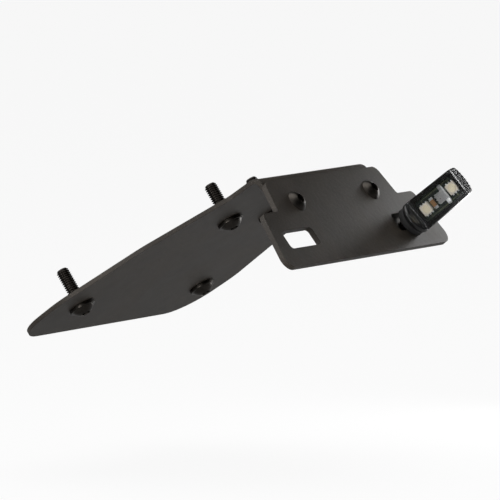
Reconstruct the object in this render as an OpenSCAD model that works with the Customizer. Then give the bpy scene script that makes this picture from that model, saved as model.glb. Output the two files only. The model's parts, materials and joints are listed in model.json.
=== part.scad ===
// Tail tidy for a motorbike: a flat tray that closes the underside of the tail,
// a number plate bracket bolted to its turned-down rear flange, and a small plate light.
// The origin is on the face that seats against the tail, midway between the two front screws.
// +X runs to the rear of the bike, +Y to its right-hand side and +Z up.

/* [Tray] */
// Thickness of the tray sheet
tray_t = 2; // [1.5:0.1:3]
// Slope of the tail's underside, rising to the rear
tail_slope = 34; // [25:1:40]
// Front edge of the tray ahead of the front screws
tray_front = 26; // [20:1:34]
// Half width of the tray at its front edge, before the corner is rounded
tray_front_half = 72; // [66:1:76]
// Radius of the two front corners
tray_front_r = 20; // [8:1:24]
// Where the tray is widest, behind the front screws
tray_wide_at = 4; // [0:1:12]
// Half width of the tray there
tray_wide_half = 76; // [70:1:84]
// Where the waist begins, behind the front screws
tray_waist_at = 48; // [40:1:56]
// Half width of the tray at the waist
tray_waist_half = 66; // [60:1:69]
// Where the sides run straight again, behind the front screws
tray_neck_at = 88; // [82:1:92]
// Radius that softens the tray's side corners
tray_side_r = 30; // [5:1:40]
// Radius where the waist meets the straight sides
tray_neck_r = 10; // [3:1:14]
// From the front screws to the fold, along the tray
fold_run = 105; // [100:1:120]
// Inside radius of the fold
bend_r = 2.5; // [1.5:0.5:4]
// Length of the flange below the fold
flange_len = 25; // [24.5:0.5:28]
// Half width of the tray and its flange at the fold
flange_half = 47; // [44:0.5:48.5]
// From the fold to where the flange's sides draw in
flange_straight = 5.2; // [5:0.1:8]
// Half width of the flange at its lower edge
flange_low_half = 40; // [39.5:0.5:43]
// Radius of the flange's lower corners
flange_corner_r = 6; // [2:1:8]

/* [Number plate bracket] */
// Thickness of the bracket sheet
plate_t = 2.5; // [2:0.1:4]
// Angle of the bracket below the horizontal, falling to the rear
plate_drop = 52; // [45:1:60]
// From the fold to the bracket's lower edge
plate_len = 48; // [45:1:60]
// Gap between the fold's round and the bracket's upper edge
plate_top_gap = 0.8; // [0.3:0.1:2]
// Half width of the stem at its upper edge
stem_top_half = 49.5; // [49:0.5:52]
// Half width of the stem where the wings begin
stem_low_half = 53; // [52:0.5:56]
// Radius of the stem's upper corners
stem_corner_r = 4; // [1:0.5:6]
// Radius in the corner between stem and wing
inner_corner_r = 1.5; // [0.5:0.5:3]
// Height of the wings, from their upper edge to the lower edge
wing_h = 28; // [25:0.5:28.5]
// Half width over the wings at their upper edge
wing_top_half = 67; // [65:1:72]
// Half width over the wings at the lower edge
wing_low_half = 73.5; // [70:0.5:80]
// Radius of the wings' upper corners
wing_top_r = 3; // [1:0.5:6]
// Radius of the wings' lower corners
wing_low_r = 5; // [2:0.5:8]

/* [Slots in the wings] */
// Length of each slot across the bracket
slot_len = 26; // [20:0.5:28]
// Width of each slot
slot_w = 9; // [8.9:0.1:10]
// Corner radius of each slot
slot_r = 2; // [1:0.5:3.5]
// From the bracket's middle line to each slot's centre
slot_at = 48.5; // [46:0.5:50]
// From the lower edge to each slot's centre
slot_up = 13.5; // [12.5:0.5:15]

/* [Screws into the tail] */
// Diameter of the screws
screw_d = 6; // [5:0.5:6]
// Length of the screws under the head
screw_len = 20; // [12:1:30]
// From the tray's middle line to each front screw
front_screw_at = 52; // [48:1:58]
// From the tray's middle line to each rear screw
rear_screw_at = 18; // [14:1:24]
// From the front screws to the rear screws, along the tray
rear_screw_run = 67; // [60:1:75]
// Diameter of the plain shank between head and thread
shank_d = 5.3; // [4.8:0.1:5.6]
// From the face that seats on the tail to the thread's first turn
thread_clear = 0.4; // [0.2:0.1:1]
// How far the thread's crests lie inside its nominal radius
thread_drop = 0.05; // [0.01:0.01:0.1]
// Length of the thread's chamfer at the tip
tip_chamfer = 1; // [0.5:0.1:1.4]
// Diameter of the button heads
head_d = 10.5; // [9:0.1:11.5]
// Height of the button heads
head_h = 3.3; // [2.6:0.1:4]
// Width across the flats of the socket
socket_af = 4; // [3:0.1:5]
// Depth of the socket
socket_depth = 2; // [1.5:0.1:2.4]

/* [Washers and nuts] */
// Diameter of the washers
washer_d = 12; // [11:0.1:14]
// Thickness of the washers
washer_t = 1.6; // [1:0.1:2]
// From the bracket's middle line to each bracket bolt
bolt_at = 33; // [28:0.5:36]
// From the fold to the bracket bolts
bolt_down = 16.5; // [14:0.5:18]
// Length of the bracket bolts under the head
bolt_len = 16; // [14:1:20]
// Width across the flats of the nuts
nut_af = 10; // [9:0.1:11]
// Height of the hexagon of the nuts
nut_hex_h = 4.5; // [3:0.1:5]
// Height of the round collar that holds the nylon ring
nut_collar_h = 1.8; // [1.2:0.1:2.5]
// From the nut's flats in to the round collar
collar_inset = 0.4; // [0.2:0.1:0.8]
// Wall of the round collar
collar_wall = 0.7; // [0.4:0.1:1]
// Floor under the nylon ring, and the collar's rise over it
insert_floor = 0.3; // [0.1:0.1:0.4]

/* [Light] */
// From the slot's centre to the light, towards the bracket's middle
light_inward = 1.8; // [0:0.1:4]
// How far the light sits below the slot's centre
light_sag = 1.4; // [0:0.1:1.4]
// Turn of the light's window away from the bike's left side, down the bracket
light_turn = 10; // [0:1:30]
// Diameter of the light's round base
light_base_d = 15.4; // [14.6:0.1:18]
// Thickness of the round base
light_base_h = 2.6; // [2.4:0.1:4]
// Radius on the rim of the round base
light_base_r = 1.1; // [0.3:0.1:1.2]
// Width of the body just above the base
light_foot_w = 15.2; // [14.6:0.1:15.4]
// Width of the body at its outer end
light_tip_w = 14; // [13.6:0.1:14.5]
// Depth of the body behind the window
light_depth = 5.4; // [5:0.1:6.4]
// Radius of the body's wide back
light_back_r = 13; // [9:0.5:20]
// Length of the body above the base
light_body_len = 25.8; // [24:0.2:34]
// Width of the pocket behind the window
pocket_w = 11; // [9:0.2:11.4]
// Depth of the pocket behind the window
pocket_depth = 2.8; // [2.6:0.1:3.2]
// Wall left at both ends of the pocket
pocket_end_t = 1.4; // [1:0.1:2]
// Thickness of the clear cover
lens_t = 1; // [0.8:0.1:1.6]
// Radius of the clear cover's outer corners
lens_corner_r = 1.6; // [0.5:0.1:2.5]
// Thickness of the clear cover over the outer end
lens_lip_t = 1.2; // [0.8:0.1:2]

/* [Inside the light] */
// Thickness of the circuit board
board_t = 0.8; // [0.6:0.1:1]
// Gap between the board's edges and the pocket's walls
board_gap = 0.2; // [0.1:0.05:0.3]
// Side of the square lamps
led_side = 5; // [4:0.1:5.4]
// Height of the lamps above the board
led_h = 1.2; // [0.8:0.1:1.6]
// Height of each lamp's square tray
led_tray_h = 1; // [0.6:0.1:1.1]
// Diameter of the round dome in each lamp
led_dome_d = 4; // [3:0.1:4.2]
// Height of the inner lamp above the bracket
led_inner_up = 10.4; // [10.4:0.1:11]
// Height of the outer lamp above the bracket
led_outer_up = 26.6; // [24:0.1:26.6]
// Height of the resistor above the bracket
resistor_up = 14.8; // [14.6:0.1:15]
// Height of the driver chip above the bracket
driver_up = 20; // [18.8:0.1:20]

/* [Light fixing] */
// Diameter of the rubber seal under the light
seal_d = 14; // [12:0.5:15]
// Thickness of the rubber seal
seal_t = 3; // [2:0.1:4]
// Diameter of the hollow stud
stud_d = 6; // [5:0.5:6]
// Diameter of the lead's way through the stud
stud_bore = 3.2; // [2:0.1:3.5]
// Diameter of the lead's way from the stud into the pocket
lead_way_d = 1.8; // [1:0.1:1.8]
// From the light's axis to the lead's way, away from the window
lead_way_at = 0.95; // [0.9:0.05:1.2]
// How far the stud goes into the light's base
stud_grip = 1.6; // [1:0.1:1.8]
// Length of the stud behind its nut
stud_tail = 3; // [1:0.5:6]
// Diameter of the wide washer behind the slot
penny_d = 18; // [14:0.5:20]
// Thickness of the wide washer
penny_t = 1.5; // [1:0.1:2]
// Height of the light's nut
light_nut_h = 5; // [4:0.1:6]

/* [Clearances] */
// Radial gap round a screw in a sheet
hole_gap = 0.25; // [0.15:0.05:0.5]
// Radial gap round a screw in a washer
washer_gap = 0.2; // [0.1:0.05:0.4]
// Radial gap between a thread and what it screws into
thread_gap = 0.05; // [0.02:0.01:0.1]

/* [Hidden] */
$fn = 64;

// Steps along each rounded corner of a sheet, and along the fold
corner_steps = 10;
fold_steps = 18;
// What a cutter stands out past the piece that it cuts
cut = 1;

fold_turn = tail_slope + plate_drop;
fold_outer_r = bend_r + tray_t;
fold_setback = fold_outer_r * tan(fold_turn / 2);
fold_point = [fold_run * cos(tail_slope), 0, fold_run * sin(tail_slope)];

plate_top = fold_setback + plate_top_gap;
wing_top = plate_len - wing_h;
slot_down = plate_len - slot_up;

// From under the head to the tail's face, and to the bracket bolts' washers
screw_plain = washer_t + tray_t;
bolt_plain = plate_t + tray_t;
thread_r = screw_d / 2 - thread_drop;
collar_r = nut_af / 2 - collar_inset;

light_base_top = seal_t + light_base_h;
light_body_top = light_base_top + light_body_len;
pocket_low = light_base_top + pocket_end_t;
pocket_high = light_body_top - pocket_end_t;
board_front = pocket_depth - board_t;
stud_low = -(plate_t + penny_t + light_nut_h + stud_tail);

// Size across the board, along it and above it
resistor = [4.2, 1.9, 0.9];
driver_body = [4.8, 5.2, 1];
driver_tab = [9.4, 2, 0.6];

SHEET_BLACK = [0.13, 0.125, 0.12];
ZINC_BLACK = [0.09, 0.09, 0.095];
PLASTIC_BLACK = [0.06, 0.06, 0.065];
CLEAR = [0.85, 0.87, 0.88, 0.35];

// Outlines with rounded corners

function unit(v) = v / norm(v);

// Points along an arc of radius r that rounds the corner p between its neighbours a and b
function rounded_corner(a, p, b, r, steps) =
    let (to_a = unit(a - p), to_b = unit(b - p))
    let (half = acos(to_a * to_b) / 2, sweep = 180 - 2 * half)
    let (centre = p + unit(to_a + to_b) * r / sin(half))
    let (first = unit(p + to_a * r / tan(half) - centre))
    let (last = unit(p + to_b * r / tan(half) - centre))
    [for (i = [0 : steps])
        let (t = i / steps)
        centre + r * (sin((1 - t) * sweep) * first + sin(t * sweep) * last) / sin(sweep)];

function xy(corner) = [corner[0], corner[1]];

// Each corner is x, y and the radius that rounds it, where 0 leaves it sharp
function rounded_outline(corners, steps = corner_steps) =
    let (n = len(corners))
    [for (i = [0 : n - 1])
        let (corner = corners[i], before = corners[(i + n - 1) % n], after = corners[(i + 1) % n])
        each corner[2] > 0
            ? rounded_corner(xy(before), xy(corner), xy(after), corner[2], steps)
            : [xy(corner)]];

// Corners given for the right-hand side are repeated on the left
function both_sides(right) =
    concat(right, [for (i = [len(right) - 1 : -1 : 0]) [right[i][0], -right[i][1], right[i][2]]]);

// Places on the two sheets

// x runs back along the tray, z stands up out of the face that seats on the tail
module on_tray() {
    rotate([0, -tail_slope, 0]) children();
}

// x runs down from the fold, z stands out of the flange's rear face
module on_flange() {
    translate(fold_point) rotate([0, plate_drop, 0]) children();
}

// On the bracket's rear face at the right-hand slot, with the window towards -y
module on_light() {
    on_flange()
        translate([slot_down + light_sag, slot_at - light_inward, plate_t])
            rotate([0, 0, light_turn]) children();
}

// Small parts that repeat

module ring(outer_r, inner_r, h) {
    difference() {
        cylinder(r = outer_r, h = h);
        translate([0, 0, -cut]) cylinder(r = inner_r, h = h + 2 * cut);
    }
}

// A button head screw: its head rests on z = 0 and rises, and its shank goes down
module button_screw(shank_len, plain_len) {
    dome_r = (head_d * head_d / 4 + head_h * head_h) / (2 * head_h);
    difference() {
        intersection() {
            cylinder(d = head_d, h = head_h);
            translate([0, 0, head_h - dome_r]) sphere(r = dome_r);
        }
        translate([0, 0, head_h - socket_depth])
            cylinder(d = socket_af / cos(30), h = socket_depth + cut, $fn = 6);
    }
    translate([0, 0, -plain_len]) cylinder(d = shank_d, h = plain_len);
    translate([0, 0, -(shank_len - tip_chamfer)])
        cylinder(r = thread_r, h = shank_len - tip_chamfer - plain_len);
    translate([0, 0, -shank_len])
        cylinder(r1 = thread_r - tip_chamfer, r2 = thread_r, h = tip_chamfer);
}

// A hexagon whose corners are turned off at 30 degrees, rising from z = 0
module hexagon(h) {
    flat_r = nut_af / 2;
    corner_r = flat_r / cos(30);
    turned = (corner_r - flat_r) * tan(30);
    intersection() {
        cylinder(r = corner_r, h = h, $fn = 6);
        rotate_extrude()
            polygon([[0, 0], [flat_r, 0], [corner_r, turned],
                [corner_r, h - turned], [flat_r, h], [0, h]]);
    }
}

// A lock nut: hexagon, round collar and the recess that holds the nylon ring
module lock_nut() {
    difference() {
        union() {
            hexagon(nut_hex_h);
            cylinder(r = collar_r, h = nut_hex_h + nut_collar_h);
        }
        translate([0, 0, -cut])
            cylinder(r = screw_d / 2 + thread_gap, h = nut_hex_h + 2 * cut);
        translate([0, 0, nut_hex_h + insert_floor])
            cylinder(r = collar_r - collar_wall, h = nut_collar_h);
    }
}

module nylon_ring() {
    color([0.12, 0.22, 0.5])
        translate([0, 0, nut_hex_h + insert_floor])
            ring(collar_r - collar_wall, screw_d / 2 + thread_gap, nut_collar_h - 2 * insert_floor);
}

// Tray

// A point at a distance along the tray and a depth below its seat, in the plane of x and z
function below_seat(run, depth) =
    [run * cos(tail_slope) + depth * sin(tail_slope), run * sin(tail_slope) - depth * cos(tail_slope)];

// A point at a distance down the flange and a depth in front of its rear face
function before_flange(down, depth) =
    below_seat(fold_run, 0)
    + [down * cos(plate_drop) - depth * sin(plate_drop), -down * sin(plate_drop) - depth * cos(plate_drop)];

// The sheet seen from the side: tray, fold and flange in one bent strip
module tray_section() {
    inner_run = fold_run - tray_t * tan(fold_turn / 2);
    polygon(rounded_outline([
        concat(below_seat(-tray_front - cut, 0), 0),
        concat(below_seat(fold_run, 0), fold_outer_r),
        concat(before_flange(flange_len + cut, 0), 0),
        concat(before_flange(flange_len + cut, tray_t), 0),
        concat(below_seat(inner_run, tray_t), bend_r),
        concat(below_seat(-tray_front - cut, tray_t), 0)], fold_steps));
}

module tray_outline() {
    polygon(rounded_outline(both_sides([
        [-tray_front, tray_front_half, tray_front_r],
        [tray_wide_at, tray_wide_half, tray_side_r],
        [tray_waist_at, tray_waist_half, tray_side_r],
        [tray_neck_at, flange_half, tray_neck_r],
        [fold_run + cut, flange_half, 0]])));
}

module flange_outline() {
    polygon(rounded_outline(both_sides([
        [0, flange_half, 0],
        [flange_straight, flange_half, 0],
        [flange_len, flange_low_half, flange_corner_r]])));
}

// The bent strip, cut to the outline of the tray above the fold and of the flange below it
module folded_sheet() {
    width = 2 * (tray_wide_half + cut);
    intersection() {
        rotate([90, 0, 0])
            translate([0, 0, -width / 2]) linear_extrude(width) tray_section();
        union() {
            on_tray() translate([0, 0, -fold_outer_r])
                linear_extrude(fold_outer_r + cut) tray_outline();
            on_flange() translate([0, 0, -tray_t - cut])
                linear_extrude(tray_t + 2 * cut) flange_outline();
        }
    }
}

module at_tray_screws() {
    translate([0, -front_screw_at, 0]) children();
    translate([0, front_screw_at, 0]) children();
    translate([rear_screw_run, -rear_screw_at, 0]) children();
    translate([rear_screw_run, rear_screw_at, 0]) children();
}

module undertray_plate() {
    hole_r = screw_d / 2 + hole_gap;
    color(SHEET_BLACK)
        difference() {
            folded_sheet();
            on_tray() at_tray_screws()
                translate([0, 0, -tray_t - cut]) cylinder(r = hole_r, h = tray_t + 2 * cut);
            on_flange() for (side = [-1, 1])
                translate([bolt_down, side * bolt_at, -tray_t - cut])
                    cylinder(r = hole_r, h = tray_t + 2 * cut);
        }
}

// Number plate bracket

module bracket_outline() {
    polygon(rounded_outline(both_sides([
        [plate_top, stem_top_half, stem_corner_r],
        [wing_top, stem_low_half, inner_corner_r],
        [wing_top, wing_top_half, wing_top_r],
        [plate_len, wing_low_half, wing_low_r]])));
}

module slot_outline() {
    polygon(rounded_outline(both_sides([
        [-slot_w / 2, slot_len / 2, slot_r],
        [slot_w / 2, slot_len / 2, slot_r]])));
}

module number_plate_bracket() {
    color(SHEET_BLACK)
        on_flange() difference() {
            linear_extrude(plate_t) bracket_outline();
            for (side = [-1, 1]) {
                translate([slot_down, side * slot_at, -cut])
                    linear_extrude(plate_t + 2 * cut) slot_outline();
                translate([bolt_down, side * bolt_at, -cut])
                    cylinder(r = screw_d / 2 + hole_gap, h = plate_t + 2 * cut);
            }
        }
}

// Fasteners

module tray_screw(run, across) {
    color(ZINC_BLACK)
        on_tray() translate([run, across, -screw_plain])
            mirror([0, 0, 1]) button_screw(screw_len, screw_plain + thread_clear);
}

module tray_washer(run, across) {
    color(ZINC_BLACK)
        on_tray() translate([run, across, -screw_plain])
            ring(washer_d / 2, screw_d / 2 + washer_gap, washer_t);
}

module bracket_bolt(side) {
    color(ZINC_BLACK)
        on_flange() translate([bolt_down, side * bolt_at, plate_t])
            button_screw(bolt_len, bolt_plain);
}

module bracket_washer(side) {
    color(ZINC_BLACK)
        on_flange() translate([bolt_down, side * bolt_at, -tray_t - washer_t])
            ring(washer_d / 2, screw_d / 2 + washer_gap, washer_t);
}

// The nut's seat is on the washer's front face, and the nut rises away from the bracket
module on_nut_seat(side) {
    on_flange() translate([bolt_down, side * bolt_at, -tray_t - washer_t])
        mirror([0, 0, 1]) children();
}

// Light

// The light's outline, seen through the window
module light_outline() {
    foot = light_foot_w / 2;
    tip = light_tip_w / 2;
    top = light_body_top + lens_lip_t;
    polygon(rounded_outline([
        [foot, light_base_top, 0], [tip, top, lens_corner_r],
        [-tip, top, lens_corner_r], [-foot, light_base_top, 0]]));
}

// The light's body between two heights: that outline run back to a round, shallow back
module light_section(low, h) {
    intersection() {
        rotate([90, 0, 0])
            translate([0, 0, -light_base_d]) linear_extrude(light_base_d) light_outline();
        translate([0, 0, low]) cylinder(d = light_base_d, h = h);
        translate([0, light_depth - light_back_r, low]) cylinder(r = light_back_r, h = h);
    }
}

module round_base() {
    r = light_base_d / 2;
    rim = light_base_r;
    translate([0, 0, seal_t])
        rotate_extrude()
            union() {
                square([r - rim, light_base_h]);
                translate([0, rim]) square([r, light_base_h - 2 * rim]);
                translate([r - rim, rim]) circle(r = rim);
                translate([r - rim, light_base_h - rim]) circle(r = rim);
            }
}

module light_housing() {
    color(PLASTIC_BLACK)
        on_light() difference() {
            union() {
                round_base();
                light_section(light_base_top, light_body_len);
            }
            translate([-pocket_w / 2, -cut, pocket_low])
                cube([pocket_w, pocket_depth + cut, pocket_high - pocket_low]);
            translate([0, 0, seal_t - cut])
                cylinder(r = stud_d / 2 + thread_gap, h = stud_grip + cut);
            translate([0, lead_way_at, seal_t])
                cylinder(d = lead_way_d, h = pocket_low + cut - seal_t);
        }
}

module light_lens() {
    color(CLEAR)
        on_light() {
            rotate([90, 0, 0]) linear_extrude(lens_t) light_outline();
            light_section(light_body_top, lens_lip_t);
        }
}

module light_board() {
    w = pocket_w - 2 * board_gap;
    color([0.05, 0.12, 0.08])
        on_light() translate([-w / 2, board_front, pocket_low + board_gap])
            cube([w, board_t, pocket_high - pocket_low - 2 * board_gap]);
}

// A block on the front of the board, at a height above the bracket
module on_board(up) {
    on_light() translate([0, board_front, up]) rotate([90, 0, 0]) children();
}

// A square lamp: a pale tray with a shallow round dome
module led() {
    translate([-led_side / 2, -led_side / 2, 0]) cube([led_side, led_side, led_tray_h]);
    intersection() {
        cylinder(d = led_dome_d, h = led_h);
        translate([0, 0, led_h - led_dome_d]) sphere(r = led_dome_d);
    }
}

module light_led_inner() {
    color([0.86, 0.8, 0.66]) on_board(led_inner_up) led();
}

module light_led_outer() {
    color([0.93, 0.9, 0.8]) on_board(led_outer_up) led();
}

module light_resistor() {
    color([0.4, 0.24, 0.12])
        on_board(resistor_up) translate([-resistor[0] / 2, -resistor[1] / 2, 0]) cube(resistor);
}

// A small power part: square body with a wide soldered tab at its outer end
module light_driver() {
    color([0.75, 0.76, 0.77])
        on_board(driver_up) {
            translate([-driver_body[0] / 2, -driver_body[1] / 2, 0]) cube(driver_body);
            translate([-driver_tab[0] / 2, driver_body[1] / 2 - driver_tab[1], 0]) cube(driver_tab);
        }
}

module light_seal() {
    color([0.05, 0.05, 0.05]) on_light() ring(seal_d / 2, stud_d / 2 + washer_gap, seal_t);
}

module light_stud() {
    color(ZINC_BLACK)
        on_light() translate([0, 0, stud_low])
            ring(stud_d / 2, stud_bore / 2, seal_t + stud_grip - stud_low);
}

module light_washer() {
    color(ZINC_BLACK)
        on_light() translate([0, 0, -plate_t - penny_t])
            ring(penny_d / 2, stud_d / 2 + washer_gap, penny_t);
}

module light_nut() {
    color(ZINC_BLACK)
        on_light() translate([0, 0, -plate_t - penny_t - light_nut_h])
            difference() {
                hexagon(light_nut_h);
                translate([0, 0, -cut])
                    cylinder(r = stud_d / 2 + thread_gap, h = light_nut_h + 2 * cut);
            }
}

undertray_plate();
number_plate_bracket();
tray_screw(0, -front_screw_at);  // front_left_screw
tray_screw(0, front_screw_at);  // front_right_screw
tray_screw(rear_screw_run, -rear_screw_at);  // rear_left_screw
tray_screw(rear_screw_run, rear_screw_at);  // rear_right_screw
tray_washer(0, -front_screw_at);  // front_left_washer
tray_washer(0, front_screw_at);  // front_right_washer
tray_washer(rear_screw_run, -rear_screw_at);  // rear_left_washer
tray_washer(rear_screw_run, rear_screw_at);  // rear_right_washer
bracket_bolt(-1);  // bracket_bolt_left
bracket_bolt(1);  // bracket_bolt_right
bracket_washer(-1);  // bracket_washer_left
bracket_washer(1);  // bracket_washer_right
color(ZINC_BLACK) on_nut_seat(-1) lock_nut();  // bracket_nut_left
color(ZINC_BLACK) on_nut_seat(1) lock_nut();  // bracket_nut_right
on_nut_seat(-1) nylon_ring();  // nylon_ring_left
on_nut_seat(1) nylon_ring();  // nylon_ring_right
light_housing();
light_lens();
light_board();
light_led_inner();
light_led_outer();
light_resistor();
light_driver();
light_seal();
light_stud();
light_washer();
light_nut();
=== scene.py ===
# %% [markdown]
# # A tail tidy in satin black
#
# A tail tidy is two pieces of sheet metal: a flat tray with a flange folded down along one edge, and a
# T-shaped bracket, bolted to that flange, which carries a number plate and a small light. The sheets,
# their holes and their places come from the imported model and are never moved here. This script gives
# every piece its finish, cuts real threads and sockets, and lights the object as in a plain studio.

# %% Load the frame
import json
import math

import bmesh
import bpy
import numpy as np
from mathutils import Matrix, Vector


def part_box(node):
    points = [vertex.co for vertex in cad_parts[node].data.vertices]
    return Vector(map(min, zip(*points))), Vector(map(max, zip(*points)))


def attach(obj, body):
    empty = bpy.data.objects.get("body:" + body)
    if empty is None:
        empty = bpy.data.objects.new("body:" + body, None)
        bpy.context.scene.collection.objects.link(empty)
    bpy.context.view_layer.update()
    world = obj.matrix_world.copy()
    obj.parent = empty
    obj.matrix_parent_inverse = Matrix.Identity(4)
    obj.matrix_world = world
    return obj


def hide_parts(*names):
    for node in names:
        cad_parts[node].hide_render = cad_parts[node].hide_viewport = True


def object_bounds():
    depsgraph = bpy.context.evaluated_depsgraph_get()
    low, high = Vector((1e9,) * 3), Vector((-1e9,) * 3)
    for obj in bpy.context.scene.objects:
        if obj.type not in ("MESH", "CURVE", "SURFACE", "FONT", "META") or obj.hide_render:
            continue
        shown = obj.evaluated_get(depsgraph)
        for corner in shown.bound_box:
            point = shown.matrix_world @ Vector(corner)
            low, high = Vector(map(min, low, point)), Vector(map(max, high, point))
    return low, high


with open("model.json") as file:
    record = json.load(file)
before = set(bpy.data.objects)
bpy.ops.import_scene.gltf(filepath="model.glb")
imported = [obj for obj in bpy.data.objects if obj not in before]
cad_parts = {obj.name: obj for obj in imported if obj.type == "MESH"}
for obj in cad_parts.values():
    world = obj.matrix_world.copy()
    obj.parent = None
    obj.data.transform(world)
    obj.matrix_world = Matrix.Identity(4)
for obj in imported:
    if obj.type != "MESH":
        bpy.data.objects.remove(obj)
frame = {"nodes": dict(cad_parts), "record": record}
cad_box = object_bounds()
MM = 0.001
record = frame["record"]
mounts = {m["name"]: m for m in record["mounts"]}
print("pieces in the frame:", len(frame["nodes"]))
print("box in mm:", [round((b - a) / MM, 1) for a, b in zip(*cad_box)])

# %% [markdown]
# ## The camera first
#
# The photograph looks at the tidy from its left side, 30 degrees towards its rear and from 5 degrees
# above. A long lens a few metres away keeps parallel edges parallel, as they are in the picture. The
# lens is worked out from the object's own width, so that it fills the frame from this side.

# %% Camera
AZIMUTH = math.radians(30)
ELEVATION = math.radians(5.4)
CAMERA_DISTANCE = 3.2
FRAME_FILL = 0.88
SENSOR_MM = 36
FARTHEST_SEEN = 100

scene = bpy.context.scene
back = np.array([math.sin(AZIMUTH) * math.cos(ELEVATION),
                 -math.cos(AZIMUTH) * math.cos(ELEVATION), math.sin(ELEVATION)])
right = np.array([math.cos(AZIMUTH), math.sin(AZIMUTH), 0.0])
up = np.cross(back, right)


def vertices_of(node):
    """All corners of a node's mesh in the frame, as an array of rows x, y, z in metres."""
    mesh = frame["nodes"][node].data
    flat = np.empty(len(mesh.vertices) * 3, np.float32)
    mesh.vertices.foreach_get("co", flat)
    return flat.reshape(-1, 3).astype(float)


cloud = np.concatenate([vertices_of(n) for n in frame["nodes"]])
across, upward = cloud @ right, cloud @ up
middle = (right * (across.max() + across.min()) + up * (upward.max() + upward.min())) / 2
half_view = (across.max() - across.min()) / 2 / FRAME_FILL

camera_data = bpy.data.cameras.new("camera")
camera_data.sensor_width = SENSOR_MM
camera_data.lens = camera_data.sensor_width / 2 * CAMERA_DISTANCE / half_view
camera = bpy.data.objects.new("camera", camera_data)
scene.collection.objects.link(camera)
camera.rotation_mode = "QUATERNION"
camera.location = middle + back * CAMERA_DISTANCE
camera.rotation_quaternion = (-Vector(back)).to_track_quat("-Z", "Y")
camera_data.clip_end = FARTHEST_SEEN
scene.camera = camera
print("half of the view in mm:", round(half_view / MM, 1), "lens in mm:", round(camera_data.lens))

# %% [markdown]
# ## Surfaces as rings of points
#
# Screws, washers, nuts and lamps are all carried by one idea: a stack of rings, each a row of points
# round an axis. A ring may be round, hexagonal or square, and neighbouring rings are joined by quads. A
# lathe tool in a modelling program would do the round ones, but not a hexagon that melts into a dome, or
# a thread whose rings are slightly off-centre all the way round. One array of shape rings by points by 3
# holds any of them.

# %% Rings to mesh
RING_POINTS = 96
SHARP_EDGE = math.radians(35)


def angles(count=RING_POINTS):
    """Evenly spaced angles round a full turn, in radians."""
    return np.arange(count) * 2 * math.pi / count


def stack(radius, height):
    """Rings from radius[ring, point] and height[ring, point]: x is radius times cos of the angle, and y
    is radius times sin of it."""
    radius, height = np.broadcast_arrays(radius, height)
    a = angles(radius.shape[1])
    return np.stack([radius * np.cos(a), radius * np.sin(a), height], axis=-1)


def skin(rings, looped=False):
    """Joins rings to a closed surface. looped joins the last ring to the first, as on a washer;
    otherwise both end rings are closed by a point at their middle."""
    count, points = rings.shape[:2]
    corners = rings.reshape(-1, 3)
    ring = np.arange(count if looped else count - 1)[:, None]
    point = np.arange(points)[None, :]
    here, there = ring * points, (ring + 1) % count * points
    following = (point + 1) % points
    quads = np.stack(np.broadcast_arrays(here + point, here + following, there + following, there + point),
                     axis=-1).reshape(-1, 4).tolist()
    if looped:
        return corners, quads
    first, last = len(corners), len(corners) + 1
    corners = np.concatenate([corners, rings[:1].mean(1), rings[-1:].mean(1)])
    p, q = point[0], following[0]
    end = (count - 1) * points
    fans = [[first, b, a] for a, b in zip(p.tolist(), q.tolist())]
    fans += [[last, end + a, end + b] for a, b in zip(p.tolist(), q.tolist())]
    return corners, quads + fans


def dressed(name, mesh, material, slot, stands_for=()):
    """An object from a mesh: smooth but for its sharp edges, with its finish, riding on the tidy."""
    mesh.polygons.foreach_set("use_smooth", np.ones(len(mesh.polygons), bool))
    mesh.set_sharp_from_angle(angle=SHARP_EDGE)
    mesh.materials.clear()
    mesh.materials.append(material)
    made = bpy.data.objects.new(name, mesh)
    scene.collection.objects.link(made)
    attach(made, "root")
    if stands_for:
        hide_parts(*stands_for)
    return made


def piece(name, parts, material, slot, stands_for=()):
    """One object from several (corners, faces) parts, its faces turned outwards."""
    offset, corners, faces = 0, [], []
    for part_corners, part_faces in parts:
        corners.append(part_corners)
        faces += [[index + offset for index in face] for face in part_faces]
        offset += len(part_corners)
    mesh = bpy.data.meshes.new(name)
    mesh.from_pydata(np.concatenate(corners).tolist(), [], faces)
    shell = bmesh.new()
    shell.from_mesh(mesh)
    bmesh.ops.recalc_face_normals(shell, faces=shell.faces)
    shell.to_mesh(mesh)
    shell.free()
    return dressed(name, mesh, material, slot, stands_for)


# %% [markdown]
# ## Where the round pieces sit
#
# Each round piece is measured on its own node: its axis direction comes from the mount it belongs to, and
# its middle, length and radii from the node's corners. Nothing is typed in twice, so a piece can't end up
# beside its hole.

# %% Measuring round nodes
TRAY_UP = np.array(mounts["tail_seat"]["axis"], float)
PLATE_OUT = np.array(mounts["plate_face"]["axis"], float)
ACROSS = np.array([0.0, 1.0, 0.0])
SIDES = ("left", "right")
TRAY_CORNERS = ("front_left", "front_right", "rear_left", "rear_right")


class Place:
    """A spot with three axes: x and y square to the axis of a round piece, z along it."""

    def __init__(self, origin, z, y=ACROSS):
        self.origin, self.z = np.array(origin, float), np.array(z, float) / np.linalg.norm(z)
        y = y - (y @ self.z) * self.z
        self.y = y / np.linalg.norm(y)
        self.x = np.cross(self.y, self.z)

    def into(self, local):
        """Points given in millimetres here become points in metres in the frame."""
        return self.origin + (local @ np.stack([self.x, self.y, self.z])) * MM

    def from_frame(self, points):
        """Points of the frame, in metres, as millimetres here."""
        return (points - self.origin) @ np.stack([self.x, self.y, self.z]).T / MM


def round_place(node, axis):
    """The place at a round node's lower end, with its length and its largest and smallest radius."""
    corners = vertices_of(node)
    spot = Place(np.zeros(3), axis)
    local = spot.from_frame(corners)
    low, high = local.min(0), local.max(0)
    middle = (low + high) / 2
    spot = Place(spot.into(np.array([middle[0], middle[1], low[2]])), axis)
    local = spot.from_frame(corners)
    radii = np.hypot(local[:, 0], local[:, 1])
    return spot, high[2] - low[2], radii.max(), radii.min()


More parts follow.
